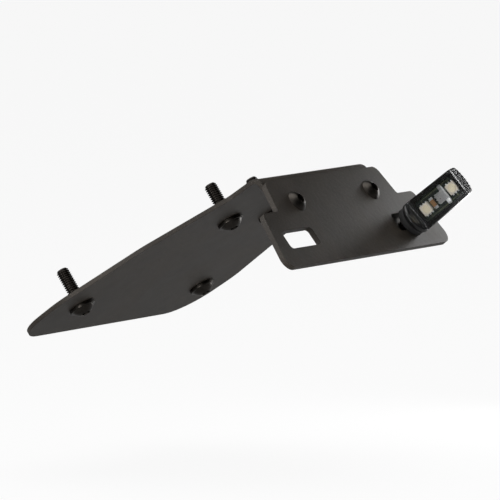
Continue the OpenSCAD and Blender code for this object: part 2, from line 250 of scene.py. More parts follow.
for node, axis in (("front_left_screw", TRAY_UP), ("bracket_bolt_left", PLATE_OUT)):
    _, span, widest, _ = round_place(node, axis)
    print(node, "is", round(span, 1), "mm long and", round(2 * widest, 1), "mm across its head")

# %% [markdown]
# ## Shader maths as plain Python
#
# A finish is easier to read as arithmetic than as a web of nodes. `Socket` wraps one output and turns
# plus, minus and times into Math nodes; `Finish` holds a material and adds any other node by one method.

# %% Shader helpers
class Socket:
    """One output of a node; arithmetic on it adds Math nodes."""

    def __init__(self, finish, output):
        self.finish, self.output = finish, output

    def __add__(self, other):
        return self.finish.maths("ADD", self, other)

    def __sub__(self, other):
        return self.finish.maths("SUBTRACT", self, other)

    def __rsub__(self, other):
        return self.finish.maths("SUBTRACT", other, self)

    def __mul__(self, other):
        return self.finish.maths("MULTIPLY", self, other)

    __radd__, __rmul__ = __add__, __mul__


class Finish:
    """A material with a Principled shader whose constant sockets are given by name."""

    def __init__(self, name, **constants):
        self.material = bpy.data.materials.new(name)
        self.material.use_nodes = True
        self.tree = self.material.node_tree
        self.shader = self.tree.nodes["Principled BSDF"]
        for key, value in constants.items():
            self.shader.inputs[key.replace("_", " ")].default_value = value
        self.object_coords = self.node("ShaderNodeTexCoord", output="Object")

    def node(self, kind, settings=None, inputs=None, output=0):
        """Adds a node: settings first, then its sockets' values or links, and returns one output."""
        node = self.tree.nodes.new(kind)
        for key, value in (settings or {}).items():
            setattr(node, key, value)
        for key, value in (inputs or {}).items():
            self.feed(node.inputs[key], value)
        return Socket(self, node.outputs[output])

    def maths(self, operation, first, second):
        """A Math node, for what Python has no sign for, such as MAXIMUM."""
        return self.node("ShaderNodeMath", {"operation": operation}, {0: first, 1: second})

    def feed(self, target, value):
        """Links a socket, or sets a plain value."""
        if isinstance(value, Socket):
            self.tree.links.new(value.output, target)
        else:
            target.default_value = value

    def set(self, **varying):
        """Feeds sockets of the Principled shader that change over the surface."""
        for key, value in varying.items():
            self.feed(self.shader.inputs[key.replace("_", " ")], value)
        return self.material

    def noise(self, size_mm, detail=2.0, roughness=0.5):
        """Soft noise between 0 and 1 whose blobs are about size_mm across."""
        return self.node("ShaderNodeTexNoise", {}, {
            "Vector": self.object_coords, "Scale": 1 / (size_mm * MM), "Detail": detail,
            "Roughness": roughness})

    def between(self, value, low, high):
        """Runs from 0 to 1 while value goes from low to high, smoothly."""
        return self.node("ShaderNodeMapRange", {"interpolation_type": "SMOOTHSTEP"}, {
            "Value": value, "From Min": low, "From Max": high})

    def mix(self, amount, first, second):
        """Colour first where amount is 0 and second where it is 1."""
        return self.node("ShaderNodeMix", {"data_type": "RGBA"}, {
            0: amount, 6: first, 7: second}, output=2)

    def bump(self, height, depth_mm, strength=1.0):
        """A normal from a height between 0 and 1 that stands for depth_mm."""
        return self.node("ShaderNodeBump", {}, {
            "Height": height, "Distance": depth_mm * MM, "Strength": strength})


def grey(value, warmth=0.0, alpha=1.0):
    """A grey as a linear colour; warmth above 0 leans to brown."""
    return (value * (1 + warmth), value, value * (1 - warmth), alpha)


# %% [markdown]
# ## Powder coat
#
# The sheets are steel with baked powder. Powder flows as it melts, which leaves a faint orange peel two
# millimetres or so across, with a much finer grain on top, and the black is slightly brown. The sheen is
# satin: rough enough to blur a window, smooth enough to show a bright wall at a flat angle. A thin film
# of dust lightens it a little in broad clouds, and single grains are painted lighter: a painted glint that
# stands in for light caught by grains that stand proud.

# %% Powder coat
# The third colour is a painted glint: single grains are made lighter to stand in for light caught on the
# coat.
COAT, COAT_DUST, PAINTED_GRAIN_GLINT = grey(0.02, 0.24), grey(0.034, 0.22), grey(0.075, 0.18)
CLOUD_MM, SHEEN_MM, PEEL_MM, GRAIN_MM = 26, 9, 2.0, 0.45
SATIN, PEEL_SHARE, PEEL_DEPTH_MM = 0.36, 0.75, 0.07


def powder_coat(name):
    """Satin black: clouds of dust over the colour, painted glints on single grains, and orange peel and
    grain in the normal.
    """
    f = Finish(name, IOR=1.45, Specular_IOR_Level=0.4)
    cloud = f.between(f.noise(CLOUD_MM, 3), 0.35, 0.75)
    peel = f.noise(PEEL_MM, 1.0, 0.4)
    grain = f.noise(GRAIN_MM, 2.0)
    # Painted glint: a mask of single grains, which are lightened in the colour to stand in for highlights.
    painted_glint_grains = f.between(grain, 0.56, 0.72)
    rough = SATIN + 0.06 * f.noise(SHEEN_MM, 2) + 0.1 * grain + 0.05 * cloud
    height = PEEL_SHARE * peel + (1 - PEEL_SHARE) * grain
    film = f.mix(cloud, COAT, COAT_DUST)
    return f.set(Base_Color=f.mix(0.6 * painted_glint_grains, film, PAINTED_GRAIN_GLINT), Roughness=rough,
                 Normal=f.bump(height, PEEL_DEPTH_MM, 0.9))


sheet_finish = powder_coat("black_powder_coat")

# %% [markdown]
# ## Black zinc, black plastic, rubber and the light's insides
#
# Plated screws are metal under a dark, slightly uneven passivation, so they are almost black with small
# bright glints. The light's housing is moulded semi-gloss black, so its rims draw thin bright lines. The
# cover is clear polycarbonate, polished along its sides and frosted on its outer end, where ribs spread
# the light. The parts on the board are small, so their finishes carry only fine grain.

# %% Small finishes
FROST_START_MM, FROST_OVER_MM = 0.7, 0.5


def black_zinc(name):
    """Dark passivated metal, blotched a millimetre or two across."""
    f = Finish(name, Metallic=1.0)
    blotch = f.noise(1.6, 3)
    fine = f.noise(0.2, 2)
    return f.set(Base_Color=f.mix(blotch, grey(0.028, 0.12), grey(0.062, 0.12)),
                 Roughness=0.24 + 0.16 * blotch + 0.05 * fine, Normal=f.bump(fine, 0.006, 0.6))


def moulded_black(name):
    """Semi-gloss plastic whose gloss wanders a little over four millimetres."""
    f = Finish(name, IOR=1.5)
    fine = f.noise(0.22, 2)
    broad = f.noise(4, 2)
    return f.set(Base_Color=f.mix(broad, grey(0.008), grey(0.014)), Roughness=0.13 + 0.1 * broad,
                 Normal=f.bump(fine, 0.004, 0.5))


def clear_cover(name, frost_from, frost_over):
    """Clear plastic. Frost begins frost_from metres along the light's axis and is full after frost_over."""
    f = Finish(name, Transmission_Weight=1.0, IOR=1.49)
    haze = f.noise(3, 2)
    along = f.node("ShaderNodeVectorMath", {"operation": "DOT_PRODUCT"}, {
        0: f.object_coords, 1: tuple(PLATE_OUT)}, output="Value")
    frost = f.between(along, frost_from, frost_from + frost_over)
    return f.set(Base_Color=f.mix(haze, (0.97, 0.98, 0.98, 1), (0.93, 0.94, 0.95, 1)),
                 Roughness=0.02 + 0.03 * haze + 0.12 * frost)


def matt(name, dark, light, rough, size_mm=0.5, depth_mm=0.01):
    """A plain material between two colours, with grain size_mm across and depth_mm deep."""
    f = Finish(name, IOR=1.5)
    grain = f.noise(size_mm, 3)
    return f.set(Base_Color=f.mix(grain, dark, light), Roughness=rough + 0.12 * grain,
                 Normal=f.bump(grain, depth_mm, 0.7))


def tinned(name):
    """Bright tin with a fine uneven grain."""
    f = Finish(name, Metallic=1.0)
    grain = f.noise(0.35, 3)
    return f.set(Base_Color=f.mix(grain, grey(0.62), grey(0.84)), Roughness=0.2 + 0.2 * grain,
                 Normal=f.bump(grain, 0.01, 0.5))


zinc_finish = black_zinc("black_zinc")
plastic_finish = moulded_black("black_plastic")
cover_end = (vertices_of("light_lens") @ PLATE_OUT).max()
cover_finish = clear_cover("clear_cover", cover_end - FROST_START_MM * MM, FROST_OVER_MM * MM)
rubber_finish = matt("black_rubber", grey(0.012), grey(0.02), 0.6)
nylon_finish = matt("blue_nylon", (0.03, 0.06, 0.26, 1), (0.05, 0.1, 0.36, 1), 0.4)
mask_finish = matt("solder_mask", (0.008, 0.014, 0.011, 1), (0.014, 0.024, 0.018, 1), 0.22)
track_finish = matt("masked_copper", (0.06, 0.075, 0.04, 1), (0.1, 0.11, 0.06, 1), 0.25)
lamp_finish = matt("lamp_body", (0.76, 0.68, 0.56, 1), (0.87, 0.8, 0.69, 1), 0.3, 0.8, 0.004)
phosphor_finish = matt("lamp_phosphor", (0.86, 0.74, 0.5, 1), (0.93, 0.85, 0.67, 1), 0.25, 0.6, 0.004)
ceramic_finish = matt("resistor_ceramic", (0.26, 0.13, 0.05, 1), (0.42, 0.23, 0.1, 1), 0.35)
tinned_finish = tinned("tinned_metal")
print("finishes:", len(bpy.data.materials))

# %% [markdown]
# ## Sheets with softened edges
#
# Laser-cut sheet has square edges, and powder rounds them to a few tenths of a millimetre; that thin
# bright line is what the eye reads as coated metal. Each node is copied, its loose triangles are merged,
# flat neighbours are joined to one face, and a Bevel modifier rounds what is sharper than a facet.

# %% Sheets
WELD_DISTANCE_MM, FLAT_WITHIN = 0.002, math.radians(0.6)


def softened(name, node, width_mm, material, slot, segments=3):
    """A merged copy of a node with rounded edges, which stands for the node."""
    mesh = frame["nodes"][node].data.copy()
    mesh.name = name
    shell = bmesh.new()
    shell.from_mesh(mesh)
    bmesh.ops.remove_doubles(shell, verts=shell.verts, dist=WELD_DISTANCE_MM * MM)
    bmesh.ops.dissolve_limit(shell, angle_limit=FLAT_WITHIN, verts=shell.verts, edges=shell.edges)
    shell.to_mesh(mesh)
    shell.free()
    made = dressed(name, mesh, material, slot, [node])
    bevel = made.modifiers.new("rounded edges", "BEVEL")
    bevel.width, bevel.segments = width_mm * MM, segments
    bevel.limit_method, bevel.angle_limit = "ANGLE", SHARP_EDGE
    bevel.harden_normals = True
    print(name, "faces before the edges are rounded:", len(mesh.polygons))


softened("tray_sheet", "undertray_plate", 0.35, sheet_finish, "black_powder_coat")
softened("bracket_sheet", "number_plate_bracket", 0.4, sheet_finish, "black_powder_coat")

# %% [markdown]
# ## Button head screws with real threads
#
# A button head is a shallow dome with a hexagon socket. Going out from the middle of the socket, the
# rings start as hexagons on its floor, climb its wall, and turn into circles on the dome. Going down the
# shank, each ring of the thread is a circle whose radius rises and falls once round the turn, and the
# next ring is turned a little further: that is all a helix is.

# %% Screws
HEAD_R, HEAD_H = 5.25, 3.3
SOCKET_AF, SOCKET_DEPTH, SOCKET_MOUTH = 4.0, 2.0, 1.06
PITCH, THREAD_DEPTH = 1.0, 0.61
SHANK_R, THREAD_R = 2.65, 2.95
TIP_LENGTH, TIP_TAPER = 1.0, 0.9
ROWS_PER_PITCH = 10
SHEET_T, PLATE_T, WASHER_T, THREAD_START = 2.0, 2.5, 1.6, 0.4


def hexagon_radius(across_flats, count=RING_POINTS):
    """Distance from the middle to a hexagon's side at each angle: half the flats over cos of the angle
    from the nearest side's middle."""
    turn = math.pi / 3
    return across_flats / 2 / np.cos((angles(count) + turn / 2) % turn - turn / 2)


def thread_radius(height, major, count=RING_POINTS):
    """Radius of a thread at each height and angle: a crest an eighth of the pitch wide, a root a quarter
    wide, and straight flanks between; the pattern climbs one pitch in one turn."""
    phase = (height[:, None] / PITCH + angles(count)[None, :] / (2 * math.pi)) % 1.0
    from_crest = np.abs(phase - 0.5)
    depth = np.clip((from_crest - 1 / 16) / (5 / 16), 0, 1)
    return major - THREAD_DEPTH * depth


def screw_rings(length, plain):
    """Rings from the socket's middle, over the dome and down the shank to the tip at -length. plain is
    the length without a thread under the head, and the dome is a ball through the head's top and rim."""
    hexagon = hexagon_radius(SOCKET_AF)[None, :]
    dome_r = (HEAD_R ** 2 + HEAD_H ** 2) / (2 * HEAD_H)

    def dome(radius):
        """Height of the ball at a radius: top minus ball radius plus root(ball radius^2 - radius^2)."""
        return HEAD_H - dome_r + np.sqrt(np.maximum(dome_r ** 2 - radius ** 2, 0))

    floor = HEAD_H - SOCKET_DEPTH
    inner = np.array([0.25, 0.9, 1.0, 1.0, 1.0])[:, None] * hexagon
    inner_z = np.array([floor - 0.25, floor, floor + 0.1, floor + 1.0, HEAD_H - 0.65])[:, None]
    mouth = SOCKET_MOUTH * hexagon
    share = np.linspace(0, 1, 14)[:, None]
    outer = mouth * (1 - share) + (HEAD_R - 0.08) * share
    rim = np.array([[HEAD_R, HEAD_R, HEAD_R - 0.15, SHANK_R + 0.25, SHANK_R]]).T
    rim_z = np.array([[0.28, 0.12, 0.0, 0.0, -0.2]]).T
    runs = np.arange(-plain, -length + TIP_LENGTH, -PITCH / ROWS_PER_PITCH)
    fade = np.clip((-plain - runs) / PITCH, 0, 1)[:, None]
    thread = SHANK_R * (1 - fade) + thread_radius(runs, THREAD_R) * fade
    tip = np.linspace(0, 1, 10)[:, None]
    tip_z = -length + TIP_LENGTH - tip
    tip_r = np.minimum(thread_radius(tip_z[:, 0], THREAD_R), THREAD_R - TIP_TAPER * tip)
    radius = np.concatenate([np.broadcast_to(r, (len(r), RING_POINTS)) for r in
                             (inner, outer, rim, thread, tip_r)])
    height = np.concatenate([np.broadcast_to(z, (len(r), RING_POINTS)) for z, r in
                             ((inner_z, inner), (dome(outer), outer), (rim_z, rim),
                              (runs[:, None], thread), (tip_z, tip_r))])
    return stack(radius, height)


def screw(name, node, axis, head_first, plain):
    """A screw in a node's place: axis points from its head to its tip when head_first is true."""
    spot, span, _, _ = round_place(node, axis)
    length = span - HEAD_H
    if head_first:
        seat = Place(spot.into(np.array([0, 0, HEAD_H])), -spot.z)
    else:
        seat = Place(spot.into(np.array([0, 0, length])), spot.z)
    corners, faces = skin(screw_rings(length, plain))
    piece(name, [(seat.into(corners), faces)], zinc_finish, "black_zinc", [node])
    print(name, "length under the head:", round(float(length), 1), "mm, faces:", len(faces))


for corner in TRAY_CORNERS:
    screw(corner + "_button_screw", corner + "_screw", TRAY_UP, True, SHEET_T + WASHER_T + THREAD_START)
for side in SIDES:
    screw("bracket_button_bolt_" + side, "bracket_bolt_" + side, PLATE_OUT, False, SHEET_T + PLATE_T)

# %% [markdown]
# ## Washers, seal and nylon rings
#
# All of these are one closed profile carried round an axis: a rectangle with rounded corners. Their radii
# and thickness are read off their nodes.

# %% Rings
WASHER_EDGE, NYLON_EDGE, SEAL_EDGE = 0.2, 0.15, 0.5


def rounded_profile(inner, outer, height, edge, steps=4):
    """Corners of a rectangle inner to outer by 0 to height, each rounded by a quarter circle of radius
    edge, as rows of radius and height."""
    quarter = np.linspace(0, math.pi / 2, steps + 1)
    rows = []
    for start, cr, cz in ((-math.pi / 2, outer - edge, edge), (0, outer - edge, height - edge),
                          (math.pi / 2, inner + edge, height - edge), (math.pi, inner + edge, edge)):
        rows.append(np.stack([cr + edge * np.cos(start + quarter), cz + edge * np.sin(start + quarter)], 1))
    return np.concatenate(rows)


def ring(name, node, axis, material, slot, edge):
    """A round ring in a node's place, with its corners rounded by edge millimetres."""
    spot, span, outer, inner = round_place(node, axis)
    profile = rounded_profile(inner, outer, span, edge)
    corners, faces = skin(stack(profile[:, :1] * np.ones(RING_POINTS), profile[:, 1:]), looped=True)
    piece(name, [(spot.into(corners), faces)], material, slot, [node])
    print(name, "from", round(float(inner), 2), "to", round(float(outer), 2), "mm from its middle")


for corner in TRAY_CORNERS:
    ring(corner + "_flat_washer", corner + "_washer", TRAY_UP, zinc_finish, "black_zinc", WASHER_EDGE)
for side in SIDES:
    ring("bracket_flat_washer_" + side, "bracket_washer_" + side, PLATE_OUT, zinc_finish, "black_zinc",
         WASHER_EDGE)
    ring("nylon_lock_ring_" + side, "nylon_ring_" + side, PLATE_OUT, nylon_finish, "blue_nylon", NYLON_EDGE)
ring("light_wide_washer", "light_washer", PLATE_OUT, zinc_finish, "black_zinc", WASHER_EDGE)
ring("light_rubber_seal", "light_seal", PLATE_OUT, rubber_finish, "black_rubber", SEAL_EDGE)

# %% [markdown]
# ## Nuts
#
# A nut's hexagon is cut by a cone at both ends, which leaves the curved chamfers on its corners. In rings
# that is one line: the radius is the smaller of the hexagon's and the cone's. The lock nuts carry a round
# collar that is rolled over the nylon ring.

# %% Nuts
NUT_AF, NUT_BORE_R, BORE_CHAMFER = 10.0, 3.05, 0.3
LOCK_HEXAGON_H = 4.5
COLLAR_R, COLLAR_WALL, COLLAR_FLOOR = 4.6, 0.7, 0.3
CHAMFER_ZONE, CHAMFER_SLOPE = 0.6, math.tan(math.pi / 6)


def nut_rings(height, collar_top):
    """Rings of a nut from its seat up: hexagon cut by 30 degree cones, then the collar if it has one."""
    hexagon = np.minimum(hexagon_radius(NUT_AF), NUT_AF / 2 / math.cos(math.pi / 6) - 0.12)
    z = np.concatenate([np.linspace(0, CHAMFER_ZONE, 7), np.linspace(height - CHAMFER_ZONE, height, 7)])
    cone = NUT_AF / 2 - 0.05 + np.minimum(z, height - z) / CHAMFER_SLOPE
    outer = np.minimum(hexagon[None, :], cone[:, None])
    if collar_top > height:
        lip = np.array([[COLLAR_R + 0.15, height], [COLLAR_R, height + 0.15], [COLLAR_R, collar_top - 0.5],
                        [COLLAR_R - 0.12, collar_top - 0.15], [COLLAR_R - 0.35, collar_top],
                        [COLLAR_R - COLLAR_WALL, collar_top - 0.02],
                        [COLLAR_R - COLLAR_WALL, height + COLLAR_FLOOR],
                        [NUT_BORE_R, height + COLLAR_FLOOR], [NUT_BORE_R, BORE_CHAMFER],
                        [NUT_BORE_R + BORE_CHAMFER, 0]])
    else:
        lip = np.array([[NUT_BORE_R + BORE_CHAMFER, height], [NUT_BORE_R, height - BORE_CHAMFER],
                        [NUT_BORE_R, BORE_CHAMFER], [NUT_BORE_R + BORE_CHAMFER, 0]])
    radius = np.concatenate([outer, lip[:, :1] * np.ones(RING_POINTS)])
    return stack(radius, np.concatenate([z, lip[:, 1]])[:, None])


def nut(name, node, hexagon_height=None):
    """A nut in a node's place: its seat looks towards the bracket, so it rises against PLATE_OUT."""
    spot, span, _, _ = round_place(node, PLATE_OUT)
    seat = Place(spot.into(np.array([0, 0, span])), -spot.z)
    corners, faces = skin(nut_rings(hexagon_height or span, span), looped=True)
    piece(name, [(seat.into(corners), faces)], zinc_finish, "black_zinc", [node])
    print(name, "is", round(float(span), 1), "mm high")


for side in SIDES:
    nut("bracket_lock_nut_" + side, "bracket_nut_" + side, LOCK_HEXAGON_H)
nut("light_hexagon_nut", "light_nut")

# %% [markdown]
# ## The light's own axes
#
# The light is a short bar with a flat window along it. All of its parts are easiest to describe on the
# light's own axes: z along the bar, away from the bracket, x across the window and y into the bar. The
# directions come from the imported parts: the board's middle and the outer lamp's middle give the way the
# window looks.

# %% The light's axes
board_middle = vertices_of("light_board").mean(0)
window_out = vertices_of("light_led_outer").mean(0) - board_middle
window_out -= (window_out @ PLATE_OUT) * PLATE_OUT
seal_place = round_place("light_seal", PLATE_OUT)[0]
light = Place(seal_place.origin, PLATE_OUT, -window_out)


def light_box(node):
    """Lowest and highest corner of a node on the light's axes, in millimetres."""
    local = light.from_frame(vertices_of(node))
    return local.min(0), local.max(0)


cover_low, cover_high = light_box("light_lens")
board_low, board_high = light_box("light_board")
print("the window looks towards", np.round(-light.y, 3))
print("cover from", np.round(cover_low, 2), "to", np.round(cover_high, 2), "mm on the light's axes")

# %% [markdown]
# ## The hollow stud
#
# The stud is a threaded tube: the outside is the same helix as on the screws, and the inside is a plain
# bore for the lead. Its rings run up the outside and back down the bore, so the last joins the first.

# %% Hollow stud
STUD_LEAD_IN = 0.6
stud_place, stud_span, stud_r, stud_bore_r = round_place("light_stud", PLATE_OUT)
stud_z = np.arange(STUD_LEAD_IN, stud_span, PITCH / ROWS_PER_PITCH)
stud_start = np.linspace(0, STUD_LEAD_IN, 5)
stud_outer = np.concatenate([
    np.minimum(thread_radius(stud_start, stud_r), (stud_r - STUD_LEAD_IN + stud_start)[:, None]),
    thread_radius(stud_z, stud_r)])
stud_bore_z = np.linspace(stud_span, 0, 6)[:, None]
stud_rings = np.concatenate([
    stack(stud_outer, np.concatenate([stud_start, stud_z])[:, None]),
    stack(stud_bore_r * np.ones((6, RING_POINTS)), stud_bore_z)])
stud_corners, stud_faces = skin(stud_rings, looped=True)
piece("light_threaded_stud", [(stud_place.into(stud_corners), stud_faces)], zinc_finish, "black_zinc",
      ["light_stud"])
print("hollow stud:", round(float(stud_span), 1), "mm long, faces:", len(stud_faces))

# %% [markdown]
# ## Housing
#
# The housing is one moulding: a round foot, a bar with a shallow round back, and a pocket for the board.
# Its solid is already right, so it is a softened copy, with the small radius a mould leaves on edges.

# %% Housing
softened("light_body_shell", "light_housing", 0.25, plastic_finish, "black_plastic")

# %% [markdown]
# ## Clear cover
#
# The cover is clear plastic: a plate over the window, with a lip that covers the bar's outer end. It could
# be two blocks joined, but clear things must be one closed skin, or light would see the seam. So it is a
# stack of rings again. Every ring runs along the front, round one side, back along the rear and round the
# other side. Below the lip the rear is flat; in the lip it follows the bar's round back. The cover is
# welded to the bar, with no air between, so its skin sinks two hundredths of a millimetre into the bar:
# the eye then looks through the plastic straight at black. Flutes across the outer end scatter light.

# %% Clear cover
COVER_EDGE = 0.22
COVER_T = 1.0
LIP_T = 1.2
COVER_CORNER_R = 1.6
WELD = 0.02
FLUTE_PITCH, FLUTE_DEPTH, FLUTE_FADE = 1.75, 0.2, 0.5
END_SHARES = (0.75, 0.5, 0.25, 0.02)
BAR_DEPTH, BAR_BACK_R, BAR_ROUND_R = 5.4, 13.0, 7.7
FOOT_HALF = (cover_high[0] - cover_low[0]) / 2
TIP_HALF = 7.0
SPAN_POINTS, SIDE_POINTS = 97, 5

cover_foot, cover_top = cover_low[2], cover_high[2]
lip_foot = cover_top - LIP_T


def bar_back(x):
    """Depth of the bar's back at x: the foot's circle, or the wide arc where that is shallower."""
    round_side = np.sqrt(np.maximum(BAR_ROUND_R ** 2 - x ** 2, 0))
    wide_arc = BAR_DEPTH - BAR_BACK_R + np.sqrt(BAR_BACK_R ** 2 - x ** 2)
    return np.minimum(round_side, wide_arc)


def cover_half_width(z):
    """Half width at height z: a straight taper, then a quarter circle at the outer corners."""
    taper = FOOT_HALF + (TIP_HALF - FOOT_HALF) * (z - cover_foot) / (cover_top - cover_foot)
    into_corner = np.clip(z - (cover_top - COVER_CORNER_R), 0, COVER_CORNER_R)
    return taper - COVER_CORNER_R + np.sqrt(COVER_CORNER_R ** 2 - into_corner ** 2)


def cover_ring(z, inset, in_lip):
    """One ring at height z, drawn in by inset: front, right side, rear and left side in turn."""
    half = cover_half_width(z) - inset
    x = half * np.sin(np.linspace(-1, 1, SPAN_POINTS) * math.pi / 2)
    past = np.maximum(np.abs(x) - (half - COVER_EDGE), 0)
    edge = COVER_EDGE - np.sqrt(COVER_EDGE ** 2 - past ** 2)
    front = -COVER_T + inset + edge
    back_depth = bar_back(x) if in_lip else np.zeros_like(x)
    rear = back_depth + (0 if in_lip else WELD) - inset - edge
    side = np.linspace(0, 1, SIDE_POINTS)[1:-1]
    right_y = front[-1] + (rear[-1] - front[-1]) * side
    left_y = rear[0] + (front[0] - rear[0]) * side
    ring_x = np.concatenate([x, np.full(len(side), x[-1]), x[::-1], np.full(len(side), x[0])])
    ring_y = np.concatenate([front, right_y, rear[::-1], left_y])
    return np.stack([ring_x, ring_y, np.full(len(ring_x), z)], 1)


round_in = 1 - np.sin(np.linspace(0, math.pi / 2, 5))
rise = 1 - np.cos(np.linspace(0, math.pi / 2, 5))
cover_rings = [cover_ring(cover_foot - WELD + COVER_EDGE * r, COVER_EDGE * i, False)
               for r, i in zip(rise, round_in)]
cover_rings += [cover_ring(z, 0, False) for z in np.linspace(cover_foot + 0.5, lip_foot - WELD, 24)]
cover_rings += [cover_ring(lip_foot - WELD, 0, True)]
cover_rings += [cover_ring(z, 0, True)
                for z in np.linspace(lip_foot + 0.2, cover_top - COVER_EDGE - 0.1, 6)]
cover_rings += [cover_ring(cover_top - COVER_EDGE * r, COVER_EDGE * i, True)
                for r, i in zip(rise[::-1], round_in[::-1])]
end_ring = cover_rings[-1]
end_middle = end_ring[:, 1].mean()
for share in END_SHARES:
    narrowed = end_ring.copy()
    narrowed[:, 1] = end_middle + (end_ring[:, 1] - end_middle) * share
    cover_rings.append(narrowed)
cover_rings = np.stack(cover_rings)
wave = 0.5 + 0.5 * np.cos(2 * math.pi * cover_rings[..., 0] / FLUTE_PITCH)
near_end = np.clip((cover_rings[..., 2] - (cover_top - FLUTE_FADE)) / FLUTE_FADE, 0, 1)
cover_rings[..., 2] -= FLUTE_DEPTH * wave * near_end
cover_corners, cover_faces = skin(cover_rings)
piece("light_clear_cover", [(light.into(cover_corners), cover_faces)], cover_finish, "clear_cover",
      ["light_lens"])
print("clear cover: rings", len(cover_rings), "of", cover_rings.shape[1], "points")

# %% [markdown]
# ## Circuit board
#
# Behind the cover lies a small board. Solder mask is a thin glossy lacquer, so the copper tracks under it
# show as low ridges of a lighter olive. Each solder joint is a small shiny pillow. Tracks and joints are
# the same shape at different heights: a rounded rectangle whose rings shrink as they rise.

# %% Board, tracks and solder joints
softened("light_circuit_board", "light_board", 0.08, mask_finish, "circuit_board", 1)
board_front = board_low[1]
PILLOW_POINTS = 40
PILLOW = np.array([[1.0, -0.15], [1.0, 0.15], [0.97, 0.5], [0.88, 0.78], [0.7, 0.93], [0.4, 1.0]])
LAMP_PAD_PITCH, DRIVER_LEG_PITCH, TAB_FROM_END = 1.6, 1.5, 1.0
TRACK_H, SIDE_TRACK_AT, LAMP_TRACK_AT = 0.05, 4.3, 3.6


def rounded_rectangle(half_x, half_z, power=6):
    """Distance from the middle to a rounded rectangle's edge at each angle:
    ((|cos| / half_x)^power + (|sin| / half_z)^power)^(-1 / power)."""
    a = angles(PILLOW_POINTS)
    return ((np.abs(np.cos(a)) / half_x) ** power + (np.abs(np.sin(a)) / half_z) ** power) ** (-1 / power)


def pillow(x, z, half_x, half_z, height):
    """A pillow on the board's front, middle at x across the window and z along the bar."""
    radius = PILLOW[:, :1] * rounded_rectangle(half_x, half_z)
    rings = stack(radius, height * PILLOW[:, 1:])
    local = np.stack([x + rings[..., 0], board_front - rings[..., 2], z + rings[..., 1]], axis=-1)
    corners, faces = skin(local)
    return light.into(corners), faces


def middle_and_half(node):
    """Middle and half size of a node on the light's axes, in millimetres."""
    low, high = light_box(node)
    return (low + high) / 2, (high - low) / 2


lamps = [middle_and_half("light_led_inner"), middle_and_half("light_led_outer")]
resistor_middle, resistor_half = middle_and_half("light_resistor")
driver_middle, driver_half = middle_and_half("light_driver")
tab_z = driver_middle[2] + driver_half[2] - TAB_FROM_END

joints = [pillow(m[0] + side * (h[0] + 0.12), m[2] + along * LAMP_PAD_PITCH, 0.45, 0.4, 0.3)
          for m, h in lamps for side in (-1, 1) for along in (-1, 0, 1)]
joints += [pillow(resistor_middle[0] + side * (resistor_half[0] + 0.2), resistor_middle[2], 0.5,
                  resistor_half[2] * 0.95, 0.4) for side in (-1, 1)]
joints += [pillow(driver_middle[0] + side * DRIVER_LEG_PITCH, driver_middle[2] - driver_half[2] - 0.25,
                  0.4, 0.5, 0.35) for side in (-1, 0, 1)]
joints += [pillow(driver_middle[0], tab_z, driver_half[0] + 0.25, 1.2, 0.2)]
piece("board_solder_joints", joints, tinned_finish, "tinned_metal")

tracks = [pillow(side * SIDE_TRACK_AT, (board_low[2] + board_high[2]) / 2, 0.35,
                 (board_high[2] - board_low[2]) / 2 - 0.8, TRACK_H) for side in (-1, 1)]
tracks += [pillow(side * LAMP_TRACK_AT, m[2], 1.0, 0.3, TRACK_H) for m, _ in lamps for side in (-1, 1)]
tracks += [pillow(0, z, 3.4, 0.28, TRACK_H) for z in (board_low[2] + 0.55, resistor_middle[2] - 1.35,
                                                     board_high[2] - 0.4)]
tracks += [pillow(0.9, (resistor_middle[2] + driver_middle[2]) / 2 - 0.6, 0.28, 1.2, TRACK_H)]
piece("board_copper_tracks", tracks, track_finish, "circuit_board")
print("solder joints:", len(joints), "tracks:", len(tracks))

# %% [markdown]
# ## Resistor and driver
#
# The resistor is a brown ceramic block with a tinned cap on each end. The driver is a small power part
# whose metal tab is soldered flat to the board to lose its heat. Both keep the shape of their nodes.

# %% Resistor and driver
CAP_THICKNESS, CAP_LENGTH = 0.03, 0.56
softened("light_driver_part", "light_driver", 0.14, tinned_finish, "tinned_metal", 2)
softened("light_resistor_part", "light_resistor", 0.15, ceramic_finish, "resistor_brown", 2)


def end_cap(side):
    """A tinned cap round one end of the resistor, a few hundredths of a millimetre proud of it."""
    radius = np.array([[0.9], [1.0], [1.0], [0.9]]) * rounded_rectangle(
        resistor_half[1] + CAP_THICKNESS, resistor_half[2] + CAP_THICKNESS, 12)
    rings = stack(radius, np.array([[0.0], [0.06], [CAP_LENGTH - 0.06], [CAP_LENGTH]]))
    x = resistor_middle[0] + side * (resistor_half[0] + 0.04 - rings[..., 2])
    local = np.stack([x, resistor_middle[1] + rings[..., 0], resistor_middle[2] + rings[..., 1]], axis=-1)
    corners, faces = skin(local)
    return light.into(corners), faces


piece("resistor_end_caps", [end_cap(-1), end_cap(1)], tinned_finish, "tinned_metal")
print("resistor:", np.round(2 * resistor_half, 1), "mm, driver:", np.round(2 * driver_half, 1), "mm")

# %% [markdown]
# ## Lamps
#
# A surface-mounted lamp is a pale square tray with one cut corner that marks its minus side, and a round
# well that is filled with yellow phosphor. The tray is a stack of rings again: square at the foot and the
# rim, and round from the well's mouth to its floor.

# %% Lamps
WELL_SHARE, WELL_DEPTH = 0.4, 0.42
RIM_SHARE = 0.84
CUT_CORNER = 1.2


def lamp_square(side):
    """Distance from the middle to a square's edge at each angle, with rounded corners and one cut off."""
    a = angles()
    square = side / 2 * (np.abs(np.cos(a)) ** 12 + np.abs(np.sin(a)) ** 12) ** (-1 / 12)
    towards_cut = np.cos(a - math.pi / 4)
    cut = CUT_CORNER * side / 2 / np.maximum(towards_cut, 0.05)
    return np.minimum(square, cut)


